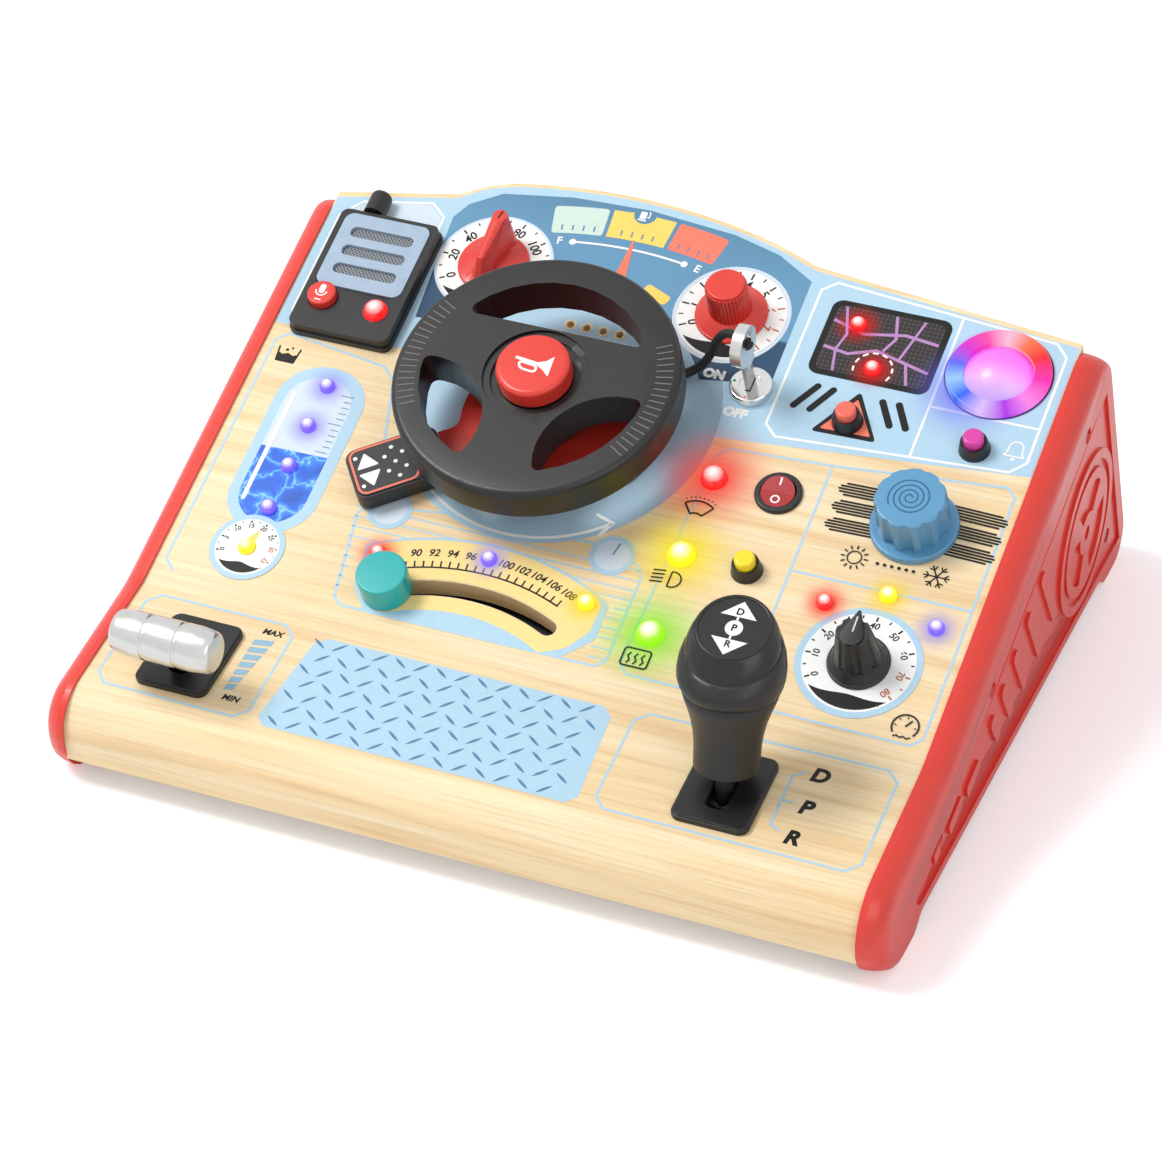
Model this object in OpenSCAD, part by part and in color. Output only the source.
// Busy board: a child's wooden car-dashboard toy for a table top.
// A bent plywood panel stands between two moulded end caps and carries a steering wheel with a horn button,
// a signal lever, an ignition lock with a tethered key, turning knobs, push buttons, a rocker switch,
// a gear shifter, a throttle, a sliding tuner and lamps.
// Millimetres, +Z up, the front faces -Y. The origin is at the middle of the board, on the table.

/* [Body] */
// Width over the end caps
body_w = 414; // [404:1:444]
// Height of the panel's bend above the table
bend_h = 61; // [58:1:71]
// Slope of the main panel in degrees
main_slope = 22.4; // [20:0.2:25]
// Slope of the front section in degrees
low_slope = 10.5; // [9:0.5:12]
// Length of the caps along the main panel, from the bend
main_l = 247; // [245:1:258]
// Length of the flat front section, to the start of the nose
low_l = 66.5; // [66:0.5:76]
// Thickness of the plywood panel
panel_t = 12; // [10:0.5:13]
// Outer radius of the panel's nose
nose_r = 22; // [20:0.5:24]

/* [End caps] */
// Thickness of a cap
cap_t = 12; // [10:0.5:14]
// Height of the cap's lip over the wood
cap_lip = 1.5; // [1:0.1:2.5]
// Drop of the cap's rounded outer edge
cap_drop = 11; // [8:0.5:14]
// Height of the feet
foot_h = 7; // [5:0.5:9]

/* [Steering wheel] */
// Radius of the wheel
wheel_r = 69.5; // [66:0.5:72]
// Height of the wheel's top over the panel
wheel_top = 43; // [41:0.5:48]
// Height of the rim
wheel_t = 20; // [16:0.5:22]
// Diameter of the horn button
horn_d = 36; // [32:0.5:38]
// Outer diameter of the column
column_d = 24; // [22:0.5:26]

/* [Signal lever] */
// Radius of the carrier disc
signal_r = 42.5; // [40:0.5:44]
// Reach of the paddle from the column's axis
paddle_end = 98; // [90:1:102]
// Width of the paddle
paddle_w = 30; // [24:1:32]

/* [Knobs and buttons] */
// Flange diameter of the two dashboard knobs
dash_knob_d = 36; // [33:0.5:38]
// Flange diameter of the fan knob
fan_flange_d = 42; // [39:0.5:44]
// Height of the turning knobs
knob_h = 24; // [20:0.5:28]
// Diameter of the tuner knob
tuner_knob_d = 24.5; // [22:0.5:27]
// Height of the tuner knob
tuner_knob_h = 15; // [12:0.5:18]
// Cap diameter of the push buttons
button_d = 10; // [9:0.2:11]
// Bezel diameter of the lock
lock_d = 21; // [20:0.5:23]
// Bezel diameter of the rocker switch
rocker_d = 23; // [22.5:0.5:25]

/* [Levers] */
// Width of the slot plates
plate_w = 37; // [34:1:40]
// Length of the slot plates
plate_l = 46; // [44:1:48]
// Height of the gear knob with its cap
gear_knob_h = 71; // [64:1:78]
// Largest radius of the gear knob
gear_knob_r = 24.4; // [22:0.2:26]
// Reach of the throttle's grip from its pivot
throttle_reach = 41; // [39:0.5:46]
// Length of the throttle's grip
grip_l = 51; // [46:1:56]

/* [Radio] */
// Width of the radio
radio_w = 55; // [52:0.5:57]
// Length of the radio
radio_l = 76; // [74:0.5:78]
// Height of the radio's case
radio_h = 8; // [7:0.5:10]

/* [Hidden] */
$fn = 64;

// Clearances: fixed pieces that slip together, moving pieces, a turning pin or stem in its hole (on diameter)
slip = 0.2;
free = 0.4;
run = 0.16;
// Overshoot of a cut past the face it leaves through
cut = 1;
// Longer than the whole board
far = 600;

ca = cos(main_slope);
sa = sin(main_slope);
cb = cos(low_slope);
sb = sin(low_slope);

// Cap outline, measured from the bend in (y, z)
cap_top_r = 18;
cap_bend_r = 60;
cap_nose_r = 23;
cap_chin_r = 27;
cap_foot_r = 9;
cap_heel_r = 14;
nose_room = 2.6;
wood_front = low_l * cb - nose_r * sb + nose_r;
cap_front = wood_front + nose_room;
heel_y = (main_l + bend_h * sa) / ca;
front_foot = 48;
foot_ramp = 9;
back_foot = 38;
bend_in = (main_slope - low_slope) / 2;
bend_mid = (main_slope + low_slope) / 2;
CAP_CORNERS = [
    [main_l * ca - cap_lip * sa, main_l * sa + cap_lip * ca, cap_top_r],
    [-sin(bend_mid) * cap_lip / cos(bend_in), cos(bend_mid) * cap_lip / cos(bend_in), cap_bend_r],
    [-cap_front, cap_lip / cb - cap_front * sb / cb, cap_nose_r],
    [-cap_front, -bend_h, cap_chin_r],
    [front_foot - cap_front, -bend_h, cap_foot_r],
    [front_foot + foot_ramp - cap_front, foot_h - bend_h, cap_foot_r],
    [heel_y - back_foot - foot_ramp, foot_h - bend_h, cap_foot_r],
    [heel_y - back_foot, -bend_h, cap_foot_r],
    [heel_y, -bend_h, cap_heel_r]];
corner_n = len(CAP_CORNERS);
CAP_HUBS = [[front_foot - cap_front - 8, -bend_h * 2 / 3], [heel_y - back_foot, -bend_h * 2 / 3]];
arc_steps = 6;
nose_steps = 12;
slot_steps = 16;
end_steps = 8;
// The lowest corner's roundness sets how far back the cap reaches
heel_turn = 90 + main_slope;
cap_back = heel_y - cap_heel_r * tan(heel_turn / 2) + cap_heel_r;
bend_y = (cap_front - cap_back) / 2;

cap_in = body_w / 2 - cap_t;
tongue = 4;
tongue_x = cap_in + tongue - slip;
rear_v = main_l - 12;
rear_t = 4;
base_t = 4;
base_top = bend_h - 42;
base_front = wood_front - panel_t - slip;

// Back edge of the wood: two wings, a ramp on each side and a round crown
wing_v = main_l - 3.5;
shoulder_v = wing_v + 14;
crown_u = -48;
crown_v = shoulder_v + 19.5;
crown_r = 300;
crown_left = -108;
crown_right = 35;
ramp_left = -121;
ramp_left_v = shoulder_v + 8.5;
shoulder_left = -134;
shoulder_right = 57;
function crown(u) = crown_v - crown_r + sqrt(crown_r * crown_r - (u - crown_u) * (u - crown_u));

// Steering column, wheel and horn
wheel_u = -37;
wheel_v = 134.5;
column_bore = 16;
column_up = 20;
column_down = 22;
column_flange_d = 54;
column_flange_t = 3;
hub_r = 27;
hub_low_r = 19;
hub_low = 9.6;
wheel_skin = 2.6;
wheel_edge = 3.5;
window_r = 54;
window_chord = 26.5;
side_window_r = 56;
side_arc_r = 35;
side_arc = [50, -37];
window_corner = 3.5;
horn_rise = 8;
horn_seat = 5;
horn_travel = 2.5;
horn_stem_d = 6;
horn_step = 3.6;
spigot_bore = 7;
switch_t = 4;
spigot_low = panel_t + column_down - switch_t - 2.5;

// Signal lever
signal_aim = 217;
signal_h = 7.6;
arm_w = 24;
arm_end = 52;
tongue_w = 14;
tongue_end = 74;
tongue_low = 3;
tongue_t = 4;
paddle_low = 2;
paddle_t = 10.5;
paddle_corner = 6;
fillet_r = 6;

// Turning knobs: place on the main panel
SPEED = [94.8 - cap_in, main_l - 27];
RPM = [25.7, main_l - 27.5];
FAN = [cap_in - 44.3, 124];
BAR = [cap_in - 45.5, 46.7];
stem_d = 6;
stem_low = 22;
pot_d = 18;
pot_t = 14;
bush_d = 9.6;
bush_h = 7;
bush_hole_d = bush_d + 2 * slip;
flange_t = 3.4;
fin_w = 10;
fin_turn = 12;
fan_body_d = 34;
fan_lobes = 11;
scoop_r = 3.6;
scoop_lean = 4;
bar_d = 29.5;
bar_top_d = 16;
bar_h = knob_h + 4;

// Ignition lock, key and tether
LOCK = [50.3, main_l - 67.5];
lock_h = 5;
barrel_d = 16;
barrel_l = 22;
plug_d = 11;
key_t = 2;
key_w = 8;
key_low = 12;
key_play = 0.8;
head_h = 35;
head_r = 10.5;
head_t = 5.5;
head_neck = 9;
head_low = head_h - 13;
head_sink = 5;
eye_d = 9;
eye_v = 0.9;
eye_h = 38.2;
cord_d = 4.5;
cord_sides = 8;
cord_fine = 3;
cord_hole_d = cord_d + 2 * free;
ROUTE_LOW = [[8, 112, -9], [8, 112, -2], [8.4, 114, 5], [9.4, 119.5, 8.2], [10.6, 127, 6.5],
    [11.4, 135, 3.4], [11.8, 144, 2.7], [10.5, 154, 2.7], [9, 163, 2.7], [9.8, 171, 2.7],
    [14.2, 177.2, 2.7], [20, 180.6, 3.2], [25.4, 184, 6.8], [29, 186.2, 13], [31.8, 187, 21]];
ROUTE_HIGH = [[31.8, 187, 21], [35.2, 187, 28.6], [40, 185.6, 34.6], [45, 183.1, 37.6], [49.8, 180.7, 38.2],
    [55, 178.1, 38.2]];
cord_up = [0.5, -0.5, 0.7];

// Rocker switch and push buttons
ROCKER = [cap_in - 112, 125.5];
rocker_rim = 2.2;
rocker_body_d = 19.6;
rocker_open_d = 17.6;
rocker_top_d = 16.4;
rocker_deep = 18;
rocker_tip = 8;
rocker_axle_d = 3;
rocker_axle_h = -1;
HAZARD = [cap_in - 94, main_l - 74];
BELL = [cap_in - 31, main_l - 74];
LAMP = [cap_in - 112, 81];
collar_d = button_d + 5.4;
collar_top_d = button_d + 3;
collar_h = 6.4;
collar_barrel_d = 12;
collar_barrel_l = 4;
button_h = 11;
button_seat = 3.2;
button_stem_d = 7;
button_travel = 2.5;
button_switch_t = 6;

// Lamps: [u, v] on the main panel
BIG_LAMPS = [[cap_in - 144.5, 126], [cap_in - 144.5, 81], [cap_in - 143.5, 36]];
big_lamp_d = 13.5;
big_lamp_h = 6.5;
big_stem_d = 9.6;
small_lamp_d = 8;
small_lamp_h = 5;
small_stem_d = 5.4;
radio_side = 37;
radio_back = 54;
radio_u = radio_side - cap_in;
radio_v = main_l - radio_back;
tank_u = radio_u + 5.5;
RED_SMALL = [[-90, 44.5], [cap_in - 71, 73.3], [cap_in - 107.3, main_l - 18.7], [cap_in - 92.3, main_l - 42]];
YELLOW_SMALL = [[16.5, 44], [cap_in - 44, 84.6], [tank_u - 1.2, radio_v - 161.8]];
WHITE_SMALL = [[-37, 55], [cap_in - 17, 73.2], [tank_u, radio_v - 64], [tank_u, radio_v - 88.3],
    [tank_u, radio_v - 112.7], [tank_u, radio_v - 137.8]];
BEACON = [cap_in - 33, main_l - 30.2];
beacon_r = 25.3;
beacon_ring_h = 3.4;
beacon_dome_r = 17;
beacon_dome_h = 9;
beacon_stem_d = 24;

// Radio
radio_corner = 5;
radio_step = 3;
radio_inset = 0.9;
radio_wall = 2;
grille_w = 46;
grille_l = 45;
grille_t = 1.8;
grille_sink = 1.2;
grille_v = 12;
slot_w = 34;
slot_l = 6.4;
slot_pitch = 11.5;
MIC = [radio_u - 15, radio_v - 18];
mic_d = 14.5;
mic_rise = 4;
mic_travel = 1.5;
mic_flange_t = 1.4;
RADIO_LAMP = [radio_u + 14.5, radio_v - 20];
radio_lamp_d = 12.5;
radio_lamp_h = 5.5;
antenna_u = radio_u - 11;
antenna_d = 11;
antenna_l = 13;
wire_hole_d = 10;

// Tuner
tuner_u = -37.3;
tuner_c = -65.3;
tuner_r = 100.8;
tuner_half = 24;
tuner_slot = 8.4;
tuner_stem_d = 7.4;
slide_w = 16;
slide_l = 13;
slide_t = 4;
track_w = 24;
track_wall = 3;
track_floor = 2;
track_half = 34;

// Sound holes and speaker
SOUND_ROWS = [[194.5, 4], [187, 5], [179.5, 4]];
sound_u = -36.4;
sound_pitch = 8.6;
sound_d = 3.6;
speaker_v = 187;
speaker_d = 44;
speaker_t = 16;
speaker_magnet_d = 24;

// Gear shifter and throttle, on the front section
GEAR = [cap_in - 79, -38.6];
THROTTLE = [43.5 - cap_in, -38];
plate_t = 3.5;
plate_corner = 5;
plate_edge = 0.9;
lever_slot_w = 10;
lever_slot_l = 27;
panel_slot_w = 24;
panel_slot_l = 36;
lever_pivot = 8;
gear_pivot_w = -2.4;
gear_lean = 16;
gear_stem_d = 9;
gear_seat = 22.2;
gear_socket = 16;
// The knob narrows to its foot and its top turns towards the driver: height, radius, tilt
knob_sides = 40;
KNOB = [[0, 13.8, 0], [1, 15, 0], [12, 15.2, 0], [19, 16, 0], [25, 17.2, 0], [31, 19, 0], [36, 20.8, 0],
    [40.4, 22, 0], [41, 21.5, 0.5], [41.6, 22.2, 1], [44, 23.4, 3], [48, 24.3, 8], [52, 24.4, 13], [56, 23.9, 18],
    [60, 22.6, 23], [61.2, 21.9, 24]];
KNOB_CAP = [[61.2, 21.6, 24], [63.5, 21.3, 25], [66.5, 20.2, 26], [69.5, 18.6, 27], [71, 17.6, 27]];
throttle_lean = 26;
throttle_stem = 8;
grip_u = 1.5;
grip_r = 11;
grip_end_r = 9.5;
// Half the grip's profile: radius and share of its length from the middle
GRIP = [[0, 0.5], [grip_end_r - 1, 0.5], [grip_end_r, 0.485], [grip_end_r + 0.6, 0.46], [grip_r, 0.32],
    [grip_r, 0.185], [grip_r - 0.7, 0.175], [grip_r - 0.7, 0.15], [grip_r, 0.14]];
core_d = 8;
core_l = 40;
pin_d = 4;
pin_l = 21.4;
eye_w = 14;
eye_r = 5.4;
cheek_gap = 0.5;
cheek_t = 3;
cheek_w = 16;
cheek_top = 5;
bracket_w = 40;
bracket_l = 46;

// Base: blocks, screws and battery box
SCREW_MAIN = [[main_l - 38, -23], [61, -21]];
base_block_in = 34.3005;
SCREW_BASE = [[heel_y - base_block_in, -35], [-2, -35]];
block_l = 16;
block_w = 24;
block_h = 18;
base_block_w = 14;
base_block_h = 14;
base_screw_y = 4;
screw_d = 3.4;
screw_hole_d = 3.6;
screw_l = 14;
screw_head_d = 7;
screw_head_t = 2.2;
screw_well_d = 8;
screw_seat = 3.5;
tray_x = 0;
tray_y = 20;
tray_w = 66;
tray_l = 58;
tray_h = 20;
tray_wall = 2;
tray_flange = 6;
door_lip = 2;
cell_d = 14.2;
cell_l = 50;
cell_pitch = 16.5;
board_w = 90;
board_l = 60;
board_t = 1.6;
board_post = 4;
board_post_d = 8;
chip_w = 22;
chip_t = 2;

// Cap relief on the outer face
relief = 1.4;
relief_top = 28;
relief_back = main_l - 8;
relief_low = foot_h - bend_h + 5;
relief_front = -32;
RELIEF = [[relief_back * ca + relief_top * sa, relief_back * sa - relief_top * ca],
    [relief_top * sin(bend_mid), -relief_top * cos(bend_mid)],
    [relief_front, relief_front * sb / cb - relief_top / cb],
    [relief_front - 6, relief_low + 6],
    [relief_front, relief_low],
    [(relief_back - relief_low * sa) / ca, relief_low]];
ring_at = [213.5, -4.5];
ring_r = 42;
ring_w = 5;
disc_r = 33;
window_in = 11;
window_out = 27;
window_turn = 84;
RIBS = [[152, -2, 50], [131, -10, 44], [110, -16, 38], [91, -21, 30], [74, -25, 22]];
rib_w = 7;
rib_aim = -57;
TABS = [[42, -31, 18], [17, -34, 18], [-7, -36, 12]];
tab_w = 8;

// Places a child on the main panel: u across, v up the slope from the bend, h over the surface
module on_main(u = 0, v = 0, h = 0) {
    translate([0, bend_y, bend_h]) rotate([main_slope, 0, 0]) translate([u, v, h]) children();
}

// Places a child on the front section: w is negative towards the nose
module on_low(u = 0, w = 0, h = 0) {
    translate([0, bend_y, bend_h]) rotate([low_slope, 0, 0]) translate([u, w, h]) children();
}

// Extrudes a (y, z) shape, measured from the bend, along X
module along_x(x, l) {
    translate([x, bend_y, bend_h]) rotate([90, 0, 90]) linear_extrude(l) children();
}

function turned(a, r) = [r * cos(a), r * sin(a)];
function unit2(p) = p / norm(p);
function edge(i) = let (p = CAP_CORNERS[i], q = CAP_CORNERS[(i + 1) % corner_n])
    unit2([q[0] - p[0], q[1] - p[1]]);
function normal(i) = let (e = edge(i)) [-e[1], e[0]];
// Points of the cap's outline, each edge moved inwards by its own amount: top, front, feet and back
function outline(top, front, feet, back) =
    let (d = [top, top, front, feet, feet, feet, feet, feet, back])
    [for (i = [0 : corner_n - 1])
        let (k = (i + corner_n - 1) % corner_n,
            n1 = normal(k),
            n2 = normal(i),
            c = n1 * n2,
            turn = atan2(n1[0] * n2[1] - n1[1] * n2[0], c),
            s = sign(turn),
            m = ((d[k] - c * d[i]) * n1 + (d[i] - c * d[k]) * n2) / (1 - c * c),
            r = max(CAP_CORNERS[i][2] - s * (d[k] + d[i]) / 2, 0.5),
            p = [CAP_CORNERS[i][0], CAP_CORNERS[i][1]] + m + s * r * (n1 + n2) / (1 + c),
            a = atan2(n1[1], n1[0]))
        for (j = [0 : arc_steps]) p - turned(a + turn * j / arc_steps, s * r)];

// A closed loft through rings of equally many points, the first and last ring filled
module loft(rings) {
    n = len(rings[0]);
    last = len(rings) - 1;
    points = [for (ring = rings) each ring];
    walls = [for (j = [0 : last - 1]) for (i = [0 : n - 1])
        let (a = j * n + i, b = j * n + (i + 1) % n)
        each [[a, a + n, b], [b, a + n, b + n]]];
    polyhedron(points, concat(walls, [[for (i = [0 : n - 1]) i]],
        [[for (i = [n - 1 : -1 : 0]) last * n + i]]));
}

module rounded(w, l, r) {
    square([w - 2 * r, l], center = true);
    square([w, l - 2 * r], center = true);
    for (x = [-1, 1]) for (y = [-1, 1]) translate([x * (w / 2 - r), y * (l / 2 - r)]) circle(r = r);
}

// A dome of given diameter and height
module dome(d, h) {
    r = (d * d / 4 + h * h) / (2 * h);
    rotate_extrude() intersection() {
        translate([0, h - r]) circle(r = r);
        square([d / 2, h]);
    }
}

// A disc with rounded top edge, from z = 0
module puck(d, h, e) {
    rotate_extrude() {
        square([d / 2, h - e]);
        square([d / 2 - e, h]);
        translate([d / 2 - e, h - e]) circle(r = e);
    }
}

module main_outline() {
    lap = panel_t * tan(bend_in) / 2;
    polygon([[-tongue_x, -lap], [tongue_x, -lap], [tongue_x, wing_v], [shoulder_right, shoulder_v],
        [crown_right, crown(crown_right)], [crown_left, crown(crown_left)], [ramp_left, ramp_left_v],
        [shoulder_left, shoulder_v], [-tongue_x, wing_v]]);
    intersection() {
        translate([crown_u, crown_v - crown_r]) circle(r = crown_r);
        translate([crown_left, shoulder_v]) square([crown_right - crown_left, crown_r]);
    }
}

function arc_points(c, r, a, b, n) = [for (i = [0 : n]) c + turned(a + (b - a) * i / n, r)];

function low_point(w, h) = [w * cb - h * sb, w * sb + h * cb];

// The front section and its nose as one (y, z) profile from the bend
module low_profile() {
    c = low_point(-low_l, -nose_r);
    overlap = panel_t * tan(bend_in) * 2 + cut;
    foot = base_top - base_t - bend_h;
    polygon(concat([low_point(overlap, 0)],
        arc_points(c, nose_r, 90 + low_slope, 180, nose_steps),
        [[c[0] - nose_r, foot], [c[0] - nose_r + panel_t, foot]],
        arc_points(c, nose_r - panel_t, 180, 90 + low_slope, nose_steps),
        [low_point(overlap, -panel_t)]));
}

module through(places, d) {
    for (p = places) on_main(p[0], p[1], -panel_t - cut) cylinder(d = d, h = panel_t + 2 * cut);
}

// The curved slot of the tuner knob with round ends
module tuner_slot_shape() {
    c = [tuner_u, tuner_c];
    r = tuner_slot / 2;
    polygon(concat(arc_points(c, tuner_r + r, 90 - tuner_half, 90 + tuner_half, slot_steps),
        arc_points(c + turned(90 + tuner_half, tuner_r), r, 90 + tuner_half, 270 + tuner_half, end_steps),
        arc_points(c, tuner_r - r, 90 + tuner_half, 90 - tuner_half, slot_steps),
        arc_points(c + turned(90 - tuner_half, tuner_r), r, 270 - tuner_half, 450 - tuner_half, end_steps)));
}

module tuner_arc(half, w, low, t) {
    on_main(tuner_u, tuner_c, low) rotate([0, 0, 90 - half]) rotate_extrude(angle = 2 * half)
        translate([tuner_r - w / 2, 0]) square([w, t]);
}

module fascia_panel() {
    color("burlywood") difference() {
        intersection() {
            union() {
                on_main(0, 0, -panel_t) linear_extrude(panel_t) main_outline();
                along_x(-tongue_x, 2 * tongue_x) low_profile();
            }
            union() {
                translate([-cap_in, -far, 0]) cube([2 * cap_in, 2 * far, far]);
                along_x(-tongue_x, 2 * tongue_x) polygon(outline(cap_lip + slip, cap_lip + slip, cap_lip, cap_lip + slip));
            }
        }
        through([[wheel_u, wheel_v]], column_d + 2 * slip);
        through([SPEED, RPM, FAN, BAR], bush_hole_d);
        through([LOCK], barrel_d + 2 * slip);
        through([ROCKER], rocker_body_d + 2 * slip);
        through([HAZARD, BELL, LAMP], collar_barrel_d + 2 * slip);
        through(BIG_LAMPS, big_stem_d + 2 * slip);
        through(concat(RED_SMALL, YELLOW_SMALL, WHITE_SMALL), small_stem_d + 2 * slip);
        through([BEACON], beacon_stem_d + 2 * slip);
        through([[radio_u, radio_v]], wire_hole_d);
        through([[ROUTE_LOW[0][0], ROUTE_LOW[0][1]]], cord_hole_d);
        for (row = SOUND_ROWS)
            through([for (i = [0 : row[1] - 1]) [sound_u + sound_pitch * (i - (row[1] - 1) / 2), row[0]]], sound_d);
        on_main(0, 0, -panel_t - cut) linear_extrude(panel_t + 2 * cut) tuner_slot_shape();
        for (p = [GEAR, THROTTLE]) on_low(p[0], p[1], -panel_t - cut) linear_extrude(panel_t + 2 * cut)
            rounded(panel_slot_w, panel_slot_l, panel_slot_w / 3);
    }
}

function screw_yz() = concat([for (p = SCREW_MAIN) [p[0] * ca - p[1] * sa, p[0] * sa + p[1] * ca]], SCREW_BASE);

module motif() {
    translate(ring_at) {
        difference() {
            circle(r = ring_r);
            circle(r = ring_r - ring_w);
        }
        difference() {
            circle(r = disc_r);
            for (a = [0, 120, 240]) rotate(a + 90 - window_turn / 2) difference() {
                intersection() {
                    circle(r = window_out);
                    polygon([[0, 0], [far, 0], turned(window_turn, far)]);
                }
                circle(r = window_in);
            }
            circle(r = window_in / 3);
        }
    }
    for (p = RIBS) translate([p[0], p[1]]) rotate(rib_aim) rounded(p[2], rib_w, rib_w / 2 - slip);
    for (p = TABS) translate([p[0], p[1]]) rotate(bend_mid) rounded(p[2], tab_w, tab_w / 4);
}

// A closed shell through the cap's rings; each flat end is filled from two hubs, because its outline is hollow
// at the bend and between the feet
module cap_shell(rings) {
    n = len(rings[0]);
    last = len(rings) - 1;
    mid = arc_steps + 1 + floor(arc_steps / 2);
    a = 6 * (arc_steps + 1) - 1;
    b = a + 1;
    hub = n * len(rings);
    points = concat([for (ring = rings) each ring],
        [for (ring = [rings[0], rings[last]]) for (p = CAP_HUBS) [ring[0][0], p[0] + bend_y, p[1] + bend_h]]);
    fill = concat([for (i = [mid : a - 1]) [0, i, i + 1]],
        [for (i = [b : n + mid - 1]) [1, i % n, (i + 1) % n]]);
    walls = [for (j = [0 : last - 1]) for (i = [0 : n - 1])
        let (p = j * n + i, q = j * n + (i + 1) % n) each [[p, p + n, q], [q, p + n, q + n]]];
    inner = concat([for (t = fill) [hub + t[0], t[1], t[2]]],
        [[hub, a, b], [hub, b, hub + 1], [hub, hub + 1, mid]]);
    o = last * n;
    outer = concat([for (t = fill) [hub + 2 + t[0], o + t[2], o + t[1]]],
        [[hub + 2, o + b, o + a], [hub + 2, hub + 3, o + b], [hub + 2, o + mid, hub + 3]]);
    polyhedron(points, concat(walls, inner, outer));
}

// A ring of the cap's rounded shell, from the wood outwards
function cap_ring(x, d) = [for (p = outline(d, d, 0, 0)) [x, p[0] + bend_y, p[1] + bend_h]];

module cap() {
    steps = 6;
    color("red") difference() {
        cap_shell([for (i = [0 : steps])
            cap_ring(cap_in + cap_t * sin(90 * i / steps), cap_drop * (1 - cos(90 * i / steps)))]);
        along_x(cap_in - cut, tongue + cut) polygon(outline(cap_lip, cap_lip, cap_lip, cap_lip));
        along_x(cap_in + cap_t - relief, relief + cut) difference() {
            polygon(RELIEF);
            motif();
        }
        for (p = screw_yz()) translate([0, bend_y + p[0], bend_h + p[1]]) rotate([0, 90, 0]) {
            translate([0, 0, cap_in]) cylinder(d = screw_hole_d, h = cap_t + cut);
            translate([0, 0, cap_in + tongue + screw_seat]) cylinder(d = screw_well_d, h = cap_t);
        }
    }
}

module right_cap() {
    cap();
}

module left_cap() {
    mirror([1, 0, 0]) cap();
}

module rear_panel() {
    low = (base_top - bend_h - rear_v * sa) / ca;
    color("tan") on_main(-tongue_x, rear_v, low) cube([2 * tongue_x, rear_t, -panel_t - low]);
}

module battery_hole(play) {
    translate([tray_x, tray_y]) square([tray_w - 2 * tray_wall + play, tray_l - 2 * tray_wall + play], center = true);
}

module base_panel() {
    back = (rear_v - (base_top - bend_h) * sa) / ca;
    color("tan") difference() {
        translate([-tongue_x, bend_y - base_front, base_top - base_t])
            cube([2 * tongue_x, base_front + back, base_t]);
        translate([0, 0, base_top - base_t - cut]) linear_extrude(base_t + 2 * cut) battery_hole(0);
        for (s = [-1, 1]) for (p = SCREW_BASE)
            translate([s * (cap_in - block_l / 2), bend_y + p[0] + base_screw_y, base_top - base_t - cut])
                cylinder(d = screw_hole_d, h = base_t + 2 * cut);
    }
}

module glue_blocks() {
    color("wheat") for (s = [0, 1]) mirror([s, 0, 0]) {
        for (p = SCREW_MAIN) difference() {
            on_main(cap_in - block_l, p[0] - block_w / 2, -panel_t - block_h)
                cube([block_l + tongue - slip, block_w, block_h]);
            on_main(cap_in - block_l - cut, p[0], p[1]) rotate([0, 90, 0])
                cylinder(d = screw_hole_d, h = far);
        }
        for (p = SCREW_BASE) difference() {
            translate([cap_in - block_l, bend_y + p[0] - base_block_w / 2, base_top])
                cube([block_l + tongue - slip, base_block_w, base_block_h]);
            translate([cap_in - block_l - cut, bend_y + p[0], bend_h + p[1]])
                rotate([0, 90, 0]) cylinder(d = screw_hole_d, h = far);
            translate([cap_in - block_l / 2, bend_y + p[0] + base_screw_y, base_top - cut])
                cylinder(d = screw_hole_d, h = screw_l);
        }
    }
}

// A screw along +Z with its seat at z = 0 and the shank below
module screw() {
    translate([0, 0, -screw_l]) cylinder(d = screw_d, h = screw_l);
    puck(screw_head_d, screw_head_t, screw_head_t / 3);
}

module cap_screws() {
    color("silver") for (s = [0, 1]) mirror([s, 0, 0]) for (p = screw_yz())
        translate([cap_in + tongue + screw_seat, bend_y + p[0], bend_h + p[1]]) rotate([0, 90, 0]) screw();
}

module base_screws() {
    color("silver") for (s = [-1, 1]) for (p = SCREW_BASE)
        translate([s * (cap_in - block_l / 2), bend_y + p[0] + base_screw_y, base_top - base_t])
            rotate([180, 0, 0]) screw();
}

module battery_tray() {
    color("dimgray") difference() {
        translate([tray_x, tray_y, base_top]) {
            linear_extrude(tray_h) square([tray_w, tray_l], center = true);
            linear_extrude(tray_wall) square([tray_w + 2 * tray_flange, tray_l + 2 * tray_flange], center = true);
            for (x = [-1, 1]) for (y = [-1, 1]) translate([x * tray_w / 2.6, y * tray_l / 2.6, tray_h])
                cylinder(d = board_post_d, h = board_post);
        }
        translate([0, 0, base_top - cut]) linear_extrude(tray_h - tray_wall + cut) battery_hole(0);
    }
}

module battery_door() {
    color("dimgray") translate([0, 0, base_top - base_t]) linear_extrude(base_t - door_lip) battery_hole(-2 * slip);
}

module battery_cells() {
    color("gray") for (i = [-1, 0, 1]) translate([tray_x - cell_l / 2, tray_y + i * cell_pitch,
        base_top - door_lip + cell_d / 2]) rotate([0, 90, 0]) cylinder(d = cell_d, h = cell_l);
}

module main_board() {
    color("darkgreen") translate([tray_x, tray_y, base_top + tray_h + board_post]) {
        linear_extrude(board_t) square([board_w, board_l], center = true);
        for (x = [-1, 1]) translate([x * chip_w, 0, 0]) linear_extrude(board_t + chip_t) square(chip_w, center = true);
    }
}

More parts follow.
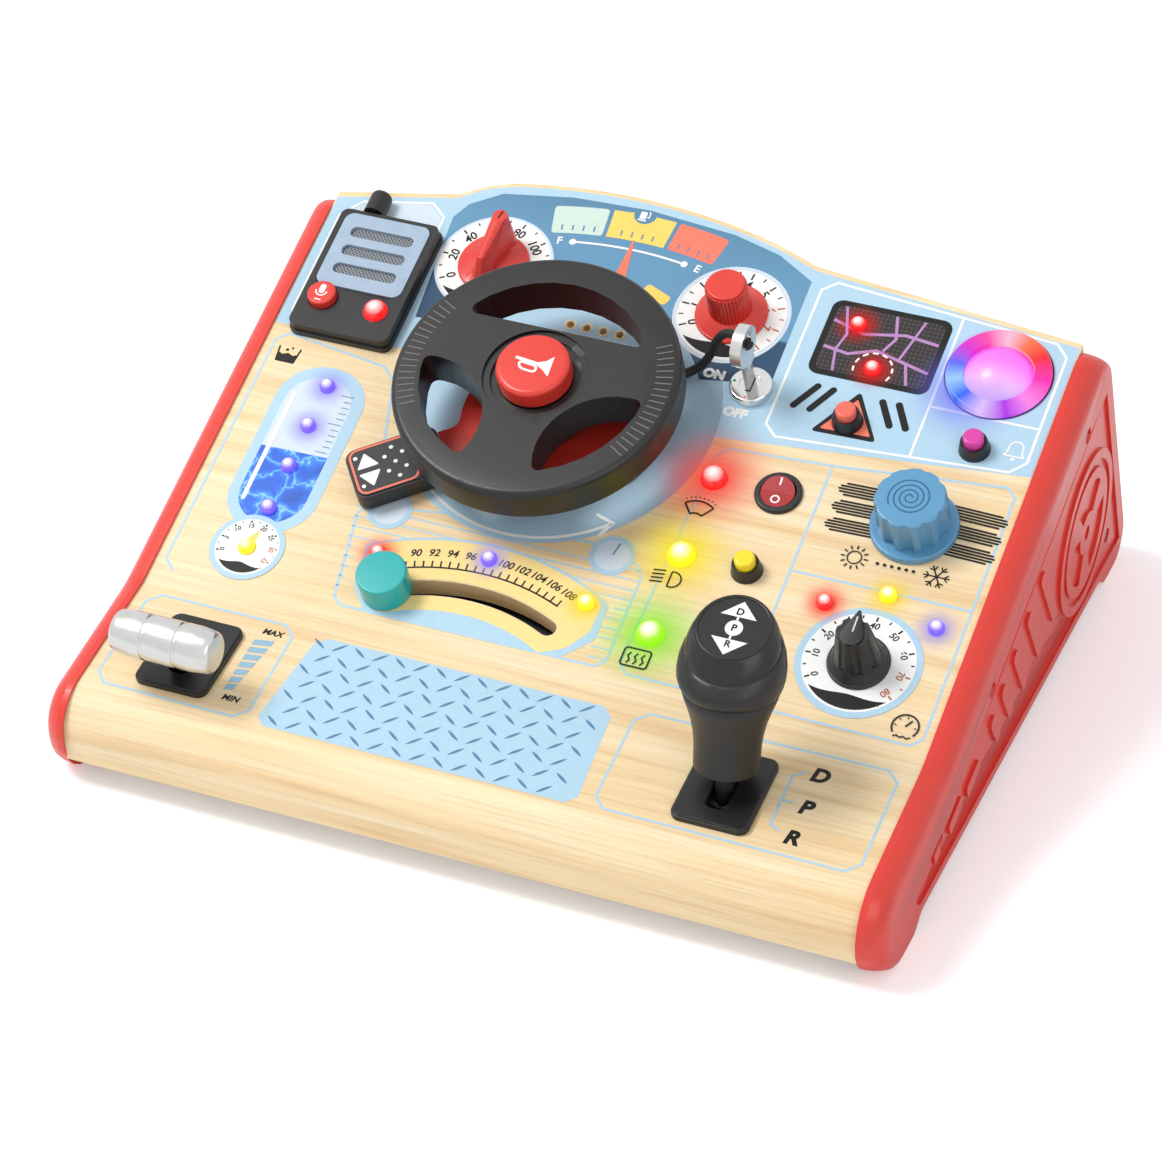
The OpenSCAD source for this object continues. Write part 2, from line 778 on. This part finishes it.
module speaker() {
    color("dimgray") on_main(sound_u, speaker_v, -panel_t) rotate([180, 0, 0]) {
        cylinder(d = speaker_d, h = speaker_t / 4);
        cylinder(d1 = speaker_d - 4, d2 = speaker_magnet_d, h = speaker_t / 2);
        cylinder(d = speaker_magnet_d, h = speaker_t);
    }
}

module radio_layer(inset) {
    rounded(radio_w - 2 * inset, radio_l - 2 * inset, radio_corner - inset);
}

module radio_case() {
    color("deepskyblue") difference() {
        on_main(radio_u, radio_v) {
            linear_extrude(radio_step) radio_layer(0);
            linear_extrude(radio_h) radio_layer(radio_inset);
        }
        on_main(radio_u, radio_v, -cut) linear_extrude(radio_h - radio_wall + cut)
            radio_layer(radio_inset + radio_wall);
        on_main(radio_u, radio_v + grille_v, radio_h - grille_sink) linear_extrude(far)
            rounded(grille_w + 2 * slip, grille_l + 2 * slip, radio_corner);
        on_main(MIC[0], MIC[1]) cylinder(d = mic_d + 2 * free, h = far);
        on_main(RADIO_LAMP[0], RADIO_LAMP[1]) cylinder(d = big_stem_d + 2 * slip, h = far);
    }
}

module radio_grille() {
    color("lightblue") difference() {
        on_main(radio_u, radio_v + grille_v, radio_h - grille_sink) linear_extrude(grille_t)
            rounded(grille_w, grille_l, radio_corner - slip);
        for (i = [-1, 0, 1]) on_main(radio_u, radio_v + grille_v + i * slot_pitch, radio_h - grille_sink - cut)
            linear_extrude(far) rounded(slot_w, slot_l, slot_l / 2 - slip);
    }
}

module antenna() {
    color("deepskyblue") on_main(antenna_u, radio_v + radio_l / 2, antenna_d / 2) rotate([-90, 0, 0])
        puck(antenna_d, antenna_l, antenna_d / 4);
}

module lamp(p, d, h, stem, base) {
    on_main(p[0], p[1], base) {
        dome(d, h);
        translate([0, 0, -panel_t + 2]) cylinder(d = stem, h = panel_t - 2);
    }
}

module small_lamps(places) {
    for (p = places) lamp(p, small_lamp_d, small_lamp_h, small_stem_d, 0);
}

module red_lamps() {
    color("red") {
        lamp(BIG_LAMPS[0], big_lamp_d, big_lamp_h, big_stem_d, 0);
        small_lamps(RED_SMALL);
        on_main(RADIO_LAMP[0], RADIO_LAMP[1], radio_h) {
            dome(radio_lamp_d, radio_lamp_h);
            translate([0, 0, -radio_wall]) cylinder(d = big_stem_d, h = radio_wall);
        }
    }
}

module yellow_lamps() {
    color("yellow") {
        lamp(BIG_LAMPS[1], big_lamp_d, big_lamp_h, big_stem_d, 0);
        small_lamps(YELLOW_SMALL);
    }
}

module green_lamp() {
    color("lime") lamp(BIG_LAMPS[2], big_lamp_d, big_lamp_h, big_stem_d, 0);
}

module white_lamps() {
    color("white") small_lamps(WHITE_SMALL);
}

module beacon_ring() {
    color("violet") on_main(BEACON[0], BEACON[1]) difference() {
        puck(2 * beacon_r, beacon_ring_h, beacon_ring_h / 2);
        translate([0, 0, -cut]) cylinder(r = beacon_dome_r + slip, h = beacon_ring_h + 2 * cut);
    }
}

module beacon_dome() {
    color("violet") on_main(BEACON[0], BEACON[1]) {
        dome(2 * beacon_dome_r, beacon_dome_h);
        translate([0, 0, -panel_t / 2]) cylinder(d = beacon_stem_d, h = panel_t / 2);
    }
}

module slot_plate(p) {
    color("dimgray") on_low(p[0], p[1]) difference() {
        union() {
            linear_extrude(plate_t - plate_edge) rounded(plate_w, plate_l, plate_corner);
            linear_extrude(plate_t) rounded(plate_w - 2 * plate_edge, plate_l - 2 * plate_edge, plate_corner - plate_edge);
        }
        translate([0, 0, -cut]) linear_extrude(plate_t + 2 * cut)
            rounded(lever_slot_w, lever_slot_l, lever_slot_w / 3);
    }
}

module gear_plate() {
    slot_plate(GEAR);
}

module throttle_plate() {
    slot_plate(THROTTLE);
}

// A bracket under the panel whose cheeks reach up beside the lever, inside the panel's opening
module bracket(p, pivot_w) {
    low = -panel_t - cheek_t;
    on_low(p[0], p[1]) difference() {
        union() {
            translate([0, 0, low]) linear_extrude(cheek_t) square([bracket_w, bracket_l], center = true);
            for (s = [-1, 1]) translate([s * (eye_w + 2 * cheek_gap + cheek_t) / 2 - cheek_t / 2,
                pivot_w - cheek_w / 2, low]) cube([cheek_t, cheek_w, -low - lever_pivot + cheek_top]);
        }
        translate([0, 0, low - cut]) linear_extrude(cheek_t + 2 * cut)
            square([eye_w + 2 * cheek_gap, panel_slot_l], center = true);
        translate([-bracket_w, pivot_w, -lever_pivot]) rotate([0, 90, 0]) cylinder(d = pin_d + run, h = 2 * bracket_w);
    }
}

module lever_brackets() {
    color("silver") {
        bracket(GEAR, gear_pivot_w);
        bracket(THROTTLE, 0);
    }
}

module lever_pins() {
    color("silver") {
        on_low(GEAR[0] - pin_l / 2, GEAR[1] + gear_pivot_w, -lever_pivot) rotate([0, 90, 0])
            cylinder(d = pin_d, h = pin_l);
        on_low(THROTTLE[0] - pin_l / 2, THROTTLE[1], -lever_pivot) rotate([0, 90, 0])
            cylinder(d = pin_d, h = pin_l);
    }
}

module tuner_track() {
    t = slide_t + 2 * free;
    color("black") difference() {
        tuner_arc(track_half, track_w, -panel_t - t - track_floor, t + track_floor);
        tuner_arc(track_half - 2, track_w - 2 * track_wall, -panel_t - t, t + cut);
    }
}

module column_base() {
    color("dimgray") on_main(wheel_u, wheel_v) difference() {
        union() {
            translate([0, 0, -panel_t - column_down]) cylinder(d = column_d, h = panel_t + column_down + column_up);
            translate([0, 0, -panel_t - column_flange_t]) cylinder(d = column_flange_d, h = column_flange_t);
        }
        translate([0, 0, -panel_t - column_down - cut]) cylinder(d = column_bore, h = far);
    }
}

module horn_switch() {
    color("dimgray") on_main(wheel_u, wheel_v, -panel_t - column_down) {
        translate([0, 0, -column_flange_t]) cylinder(d = column_d, h = column_flange_t);
        cylinder(d = column_bore / 2, h = switch_t);
    }
}

module button_switches() {
    color("dimgray") for (p = [HAZARD, BELL, LAMP])
        on_main(p[0], p[1], -panel_t - collar_barrel_l - button_switch_t)
            cylinder(d = collar_barrel_d, h = button_switch_t);
}

module knob_pots() {
    color("dimgray") for (p = [SPEED, RPM, FAN, BAR]) on_main(p[0], p[1], -panel_t) difference() {
        union() {
            translate([0, 0, -pot_t]) cylinder(d = pot_d, h = pot_t);
            cylinder(d = bush_d, h = bush_h);
        }
        translate([0, 0, -pot_t + 2]) cylinder(d = stem_d + run, h = far);
    }
}

module lock_body() {
    color("silver") on_main(LOCK[0], LOCK[1]) difference() {
        union() {
            puck(lock_d, lock_h, lock_h / 4);
            translate([0, 0, -barrel_l]) cylinder(d = barrel_d, h = barrel_l);
        }
        translate([0, 0, -barrel_l - cut]) cylinder(d = plug_d + run, h = far);
    }
}

module rocker_bezel() {
    color("black") on_main(ROCKER[0], ROCKER[1]) difference() {
        union() {
            puck(rocker_d, rocker_rim, rocker_rim / 2);
            translate([0, 0, -rocker_deep]) cylinder(d = rocker_body_d, h = rocker_deep);
        }
        translate([0, 0, -rocker_deep / 2]) cylinder(d = rocker_open_d, h = far);
        translate([-rocker_body_d / 2 + 0.4, 0, rocker_axle_h]) rotate([0, 90, 0])
            cylinder(d = rocker_axle_d + run, h = rocker_body_d - 0.8);
    }
}

module button_collars() {
    color("black") for (p = [HAZARD, BELL, LAMP]) on_main(p[0], p[1]) difference() {
        union() {
            cylinder(d1 = collar_d, d2 = collar_top_d, h = collar_h);
            translate([0, 0, -panel_t - collar_barrel_l]) cylinder(d = collar_barrel_d, h = panel_t + collar_barrel_l);
        }
        translate([0, 0, -far / 2]) cylinder(d = button_stem_d + 2 * free, h = far);
        cylinder(d = button_d + 2 * free, h = far);
    }
}

// The tether: a tube swept along its route on the main panel
function bezier_at(r, i, t) =
    let (a = r[max(i - 1, 0)], b = r[i], c = r[i + 1], d = r[min(i + 2, len(r) - 1)])
    b + t * (c - a) / 2 + t * t * (a - 2.5 * b + 2 * c - d / 2) + t * t * t * (1.5 * (b - c) + (d - a) / 2);
function fine(r) = concat([for (i = [0 : len(r) - 2]) for (j = [0 : cord_fine - 1])
    bezier_at(r, i, j / cord_fine)], [r[len(r) - 1]]);
function unit3(p) = p / norm(p);
// The two halves share the route's direction where they meet
function heading(p, i, lead, trail) = i == 0 ? unit3(lead) : i == len(p) - 1 ? unit3(trail)
    : unit3(p[i + 1] - p[i - 1]);
module tube(p, lead, trail) {
    loft([for (i = [0 : len(p) - 1])
        let (t = heading(p, i, lead, trail), x = unit3(cross(t, cord_up)), y = cross(t, x))
        [for (k = [0 : cord_sides - 1]) p[i] + x * cord_d / 2 * cos(360 * k / cord_sides)
            + y * cord_d / 2 * sin(360 * k / cord_sides)]]);
}
cord_meet = ROUTE_HIGH[1] - ROUTE_LOW[len(ROUTE_LOW) - 2];

module key_cord_lower() {
    color("black") on_main() tube(fine(ROUTE_LOW), ROUTE_LOW[1] - ROUTE_LOW[0], cord_meet);
}

module key_cord_upper() {
    n = len(ROUTE_HIGH);
    color("black") on_main() tube(fine(ROUTE_HIGH), cord_meet, ROUTE_HIGH[n - 1] - ROUTE_HIGH[n - 2]);
}

module windows(grow) {
    offset(delta = grow) offset(r = window_corner) offset(delta = -window_corner) {
        intersection() {
            circle(r = window_r);
            translate([-far, window_chord]) square([2 * far, far]);
        }
        for (s = [-1, 1]) intersection() {
            circle(r = side_window_r);
            translate([s * side_arc[0], side_arc[1]]) circle(r = side_arc_r);
        }
    }
}

module steering_wheel() {
    low = wheel_top - wheel_t;
    color("black") on_main(wheel_u, wheel_v) difference() {
        union() {
            translate([0, 0, low]) rotate_extrude() {
                square([wheel_r - wheel_edge, wheel_t]);
                translate([0, wheel_edge]) square([wheel_r, wheel_t - 2 * wheel_edge]);
                for (z = [wheel_edge, wheel_t - wheel_edge]) translate([wheel_r - wheel_edge, z]) circle(r = wheel_edge);
            }
            translate([0, 0, hub_low]) cylinder(r = hub_low_r, h = wheel_top - hub_low - horn_step * 2);
            translate([0, 0, -spigot_low]) cylinder(d = column_bore - run, h = spigot_low + low);
        }
        translate([0, 0, low - cut]) linear_extrude(wheel_t + 2 * cut, $fn = 32) windows(0);
        translate([0, 0, low - cut]) linear_extrude(wheel_t - wheel_skin + cut, $fn = 32) difference() {
            circle(r = wheel_r - wheel_edge);
            windows(wheel_skin);
            circle(r = hub_r);
        }
        translate([0, 0, hub_low - cut]) difference() {
            cylinder(d = column_d + 2 * free, h = column_up - hub_low + cut + free);
            cylinder(d = column_bore - run, h = far);
        }
        for (i = [0 : 2]) translate([0, 0, wheel_top - [1.5, 3, horn_seat][i]])
            cylinder(d = horn_d + 2 * free + 2 * horn_step * (2 - i), h = far);
        translate([0, 0, -far / 2]) cylinder(d = spigot_bore, h = far);
    }
}

module horn_button() {
    low = wheel_top - horn_seat + horn_travel + free;
    color("black") on_main(wheel_u, wheel_v) {
        translate([0, 0, low]) puck(horn_d, wheel_top + horn_rise - low, horn_d / 14);
        translate([0, 0, -spigot_low + 0.5]) cylinder(d = horn_stem_d, h = spigot_low + low - 0.5);
    }
}

module signal_lever() {
    color("red") on_main(wheel_u, wheel_v) difference() {
        union() {
            translate([0, 0, free]) linear_extrude(signal_h, $fn = 48) offset(r = -fillet_r) offset(delta = fillet_r) {
                circle(r = signal_r);
                rotate(signal_aim) translate([0, -arm_w / 2]) square([arm_end, arm_w]);
            }
            rotate([0, 0, signal_aim]) translate([signal_r - tongue_w / 2, -tongue_w / 2, tongue_low])
                cube([tongue_end - signal_r + tongue_w / 2, tongue_w, tongue_t]);
        }
        cylinder(d = column_d + run, h = far);
    }
}

module signal_paddle() {
    l = paddle_end - arm_end - slip;
    color("black") on_main(wheel_u, wheel_v) rotate([0, 0, signal_aim]) difference() {
        translate([paddle_end - l / 2, 0, paddle_low]) {
            linear_extrude(paddle_t - 1) rounded(l, paddle_w, paddle_corner);
            linear_extrude(paddle_t) rounded(l - 2, paddle_w - 2, paddle_corner - 1);
        }
        translate([0, -tongue_w / 2 - slip, tongue_low - slip])
            cube([tongue_end + slip, tongue_w + 2 * slip, tongue_t + 2 * slip]);
    }
}

module stem() {
    translate([0, 0, -stem_low]) cylinder(d = stem_d, h = stem_low + free + flange_t / 2);
}

// A low cone with a rounded rim that carries a knob
module flange(d, top_d, h) {
    translate([0, 0, free]) {
        puck(d, flange_t / 2, flange_t / 4);
        translate([0, 0, flange_t / 2]) cylinder(d1 = d - flange_t / 2, d2 = top_d, h = h - flange_t / 2);
    }
}

module speed_knob() {
    half = dash_knob_d / 2;
    color("red") on_main(SPEED[0], SPEED[1]) {
        stem();
        flange(dash_knob_d, half, flange_t * 1.5);
        rotate([0, 0, -fin_turn]) hull() {
            translate([0, -half / 2, flange_t]) cylinder(r = fin_w / 2, h = 1, $fn = 32);
            translate([0, half - fin_w / 2, flange_t]) cylinder(r = fin_w / 2, h = 1, $fn = 32);
            translate([0, -half / 3, knob_h * 0.58]) cylinder(r = fin_w / 4, h = 1, $fn = 24);
            translate([0, half - fin_w / 2, knob_h - 1]) cylinder(r = fin_w * 0.37, h = 1, $fn = 24);
        }
    }
}

module toothed(r, deep, n) {
    polygon([for (i = [0 : 2 * n - 1]) turned(180 * i / n, i % 2 == 0 ? r : r - deep)]);
}

module rpm_knob() {
    r = dash_knob_d * 0.29;
    color("red") on_main(RPM[0], RPM[1]) {
        stem();
        flange(dash_knob_d, r * 2.1, flange_t * 1.6);
        translate([0, 0, flange_t]) linear_extrude(knob_h - flange_t - 1) toothed(r, 0.7, 36);
        translate([0, 0, flange_t]) puck(2 * r - 2, knob_h - flange_t + free, 1);
    }
}

module fan_knob() {
    color("steelblue") on_main(FAN[0], FAN[1]) {
        stem();
        translate([0, 0, free]) puck(fan_flange_d, flange_t, flange_t / 3);
        difference() {
            translate([0, 0, free]) puck(fan_body_d, knob_h, 1.6);
            for (i = [0 : fan_lobes - 1]) rotate([0, 0, 360 * (i + 0.5) / fan_lobes])
                translate([fan_body_d / 2 + scoop_r / 4, 0, flange_t + free]) rotate([0, scoop_lean, 0])
                    cylinder(r = scoop_r, h = knob_h * 1.2);
        }
    }
}

module bar_knob() {
    color("black") on_main(BAR[0], BAR[1]) {
        stem();
        flange(bar_d, bar_d * 0.72, flange_t * 1.8);
        difference() {
            translate([0, 0, flange_t]) cylinder(d1 = bar_d * 0.78, d2 = bar_top_d, h = bar_h - flange_t - 2);
            for (i = [0 : 7]) rotate([0, 0, 45 * i + 22.5]) translate([bar_top_d / 2 + 4.6, 0, flange_t * 1.8])
                rotate([0, -9, 0]) cylinder(r = 2.4, h = far);
        }
        hull() {
            translate([0, -bar_top_d / 8, bar_h * 0.6]) cylinder(d = bar_top_d * 0.68, h = bar_h * 0.36, $fn = 32);
            translate([0, bar_top_d * 0.62, bar_h * 0.6]) cylinder(r = 0.8, h = bar_h * 0.4, $fn = 16);
        }
    }
}

module lock_plug() {
    color("silver") on_main(LOCK[0], LOCK[1]) difference() {
        translate([0, 0, -barrel_l]) cylinder(d = plug_d, h = barrel_l + lock_h - free);
        translate([-key_t / 2 - free, -key_w / 2 - free, -key_low - key_play])
            cube([key_t + 2 * free, key_w + 2 * free, far]);
    }
}

module key_blade() {
    color("silver") on_main(LOCK[0], LOCK[1]) translate([-key_t / 2, -key_w / 2, -key_low])
        cube([key_t, key_w, key_low + head_low + head_sink]);
}

module key_head() {
    color("black") on_main(LOCK[0], LOCK[1]) difference() {
        rotate([90, 0, 90]) translate([0, 0, -head_t / 2]) linear_extrude(head_t) {
            translate([0, head_h]) circle(r = head_r);
            translate([-head_neck / 2, head_low]) square([head_neck, head_h - head_low]);
        }
        translate([-key_t / 2 - slip / 2, -key_w / 2 - slip / 2, 0])
            cube([key_t + slip, key_w + slip, head_low + head_sink + slip / 2]);
        translate([-head_t, eye_v, eye_h]) rotate([0, 90, 0]) cylinder(d = eye_d, h = 2 * head_t);
    }
}

module rocker() {
    color("red") on_main(ROCKER[0], ROCKER[1], rocker_axle_h) rotate([rocker_tip, 0, 0]) {
        intersection() {
            translate([0, 0, -rocker_deep / 3]) cylinder(d = rocker_top_d, h = rocker_deep);
            translate([-rocker_d, 0, 0]) rotate([90, 0, 90]) linear_extrude(2 * rocker_d)
                polygon([[-rocker_d, 6.2], [-rocker_d, -4], [rocker_d, -4], [rocker_d, 6.2], [0, 3.4]]);
        }
        translate([-rocker_body_d / 2 + 0.7, 0, 0]) rotate([0, 90, 0])
            cylinder(d = rocker_axle_d, h = rocker_body_d - 1.4);
    }
}

module push_button(p) {
    on_main(p[0], p[1]) {
        translate([0, 0, button_seat]) puck(button_d, button_h - button_seat, 1.4);
        translate([0, 0, -panel_t + 1]) cylinder(d = button_stem_d, h = panel_t + button_seat - 1);
    }
}

module hazard_button() {
    color("tomato") push_button(HAZARD);
}

module bell_button() {
    color("hotpink") push_button(BELL);
}

module lamp_button() {
    color("gold") push_button(LAMP);
}

module mic_button() {
    low = radio_h - radio_wall - free - mic_flange_t;
    color("lightblue") on_main(MIC[0], MIC[1], low) {
        cylinder(d = mic_d + 3, h = mic_flange_t);
        translate([0, 0, mic_flange_t / 2]) puck(mic_d, radio_h + mic_rise - low - mic_flange_t / 2, 1.2);
    }
}

// The gear shifter leans back at rest, its pivot just under the slot plate
module at_gear(z = 0) {
    on_low(GEAR[0], GEAR[1] + gear_pivot_w, -lever_pivot) rotate([-gear_lean, 0, 0]) translate([0, 0, z]) children();
}

module eye() {
    difference() {
        union() {
            translate([-eye_w / 2, 0, 0]) rotate([0, 90, 0]) cylinder(r = eye_r, h = eye_w);
            children();
        }
        translate([-eye_w, 0, 0]) rotate([0, 90, 0]) cylinder(d = pin_d + run, h = 2 * eye_w);
    }
}

module gear_lever() {
    color("dimgray") at_gear() eye() cylinder(d = gear_stem_d, h = gear_seat + gear_socket);
}

// A ring of the gear knob: height on the lever's axis, radius and tilt towards the driver
function knob_ring(p) = let (k = gear_knob_h / 71, r = p[1] * gear_knob_r / 24.4)
    [for (i = [0 : knob_sides - 1]) let (a = -360 * i / knob_sides)
        [r * cos(a), r * sin(a) * cos(p[2]), p[0] * k + r * sin(a) * sin(p[2])]];

module gear_knob() {
    color("dimgray") at_gear(gear_seat) difference() {
        loft([for (p = KNOB) knob_ring(p)]);
        translate([0, 0, -cut]) cylinder(d = gear_stem_d + slip, h = gear_socket + cut + slip);
    }
}

module gear_cap() {
    color("gray") at_gear(gear_seat) loft([for (p = KNOB_CAP) knob_ring(p)]);
}

// The throttle leans to the front at rest
module at_throttle(z = 0) {
    on_low(THROTTLE[0], THROTTLE[1], -lever_pivot) rotate([throttle_lean, 0, 0]) translate([0, 0, z]) children();
}

module throttle_arm() {
    color("dimgray") at_throttle() eye() {
        translate([-throttle_stem / 2, -throttle_stem / 2, 0]) cube([throttle_stem, throttle_stem, throttle_reach]);
        translate([-core_l / 2, 0, throttle_reach]) rotate([0, 90, 0]) cylinder(d = core_d, h = core_l);
    }
}

module throttle_grip() {
    color("silver") at_throttle(throttle_reach) difference() {
        translate([grip_u, 0, 0]) rotate([0, 90, 0]) rotate_extrude() polygon(concat([for (p = GRIP) [p[0], -grip_l * p[1]]],
            [for (i = [len(GRIP) - 1 : -1 : 0]) [GRIP[i][0], grip_l * GRIP[i][1]]]));
        translate([-core_l / 2 - slip, 0, 0]) rotate([0, 90, 0]) cylinder(d = core_d + slip, h = core_l + 2 * slip);
        translate([-throttle_stem / 2 - slip, -throttle_stem / 2 - slip, -far])
            cube([throttle_stem + 2 * slip, throttle_stem + 2 * slip, far]);
    }
}

// The tuner knob stands at the left end of its slot
module at_tuner(h) {
    on_main(tuner_u, tuner_c, h) rotate([0, 0, tuner_half]) translate([0, tuner_r, 0]) children();
}

module tuner_knob() {
    low = slide_t + free;
    color("teal") {
        at_tuner(free) puck(tuner_knob_d, tuner_knob_h, 1);
        at_tuner(-panel_t - low) cylinder(d = tuner_stem_d, h = panel_t + low + free + cut);
    }
}

module tuner_slide() {
    color("dimgray") at_tuner(-panel_t - slide_t - free) difference() {
        linear_extrude(slide_t) rounded(slide_l, slide_w, 2);
        translate([0, 0, -cut]) cylinder(d = tuner_stem_d + slip, h = slide_t + 2 * cut);
    }
}

fascia_panel();
left_cap();
right_cap();
rear_panel();
base_panel();
glue_blocks();
cap_screws();
base_screws();
battery_tray();
battery_door();
battery_cells();
main_board();
speaker();
radio_case();
radio_grille();
antenna();
red_lamps();
yellow_lamps();
green_lamp();
white_lamps();
beacon_ring();
beacon_dome();
gear_plate();
throttle_plate();
lever_brackets();
lever_pins();
tuner_track();
column_base();
horn_switch();
button_switches();
knob_pots();
lock_body();
rocker_bezel();
button_collars();
key_cord_lower();
steering_wheel();
horn_button();
signal_lever();
signal_paddle();
speed_knob();
rpm_knob();
fan_knob();
bar_knob();
lock_plug();
key_blade();
key_head();
key_cord_upper();
rocker();
hazard_button();
bell_button();
lamp_button();
mic_button();
gear_lever();
gear_knob();
gear_cap();
throttle_arm();
throttle_grip();
tuner_knob();
tuner_slide();
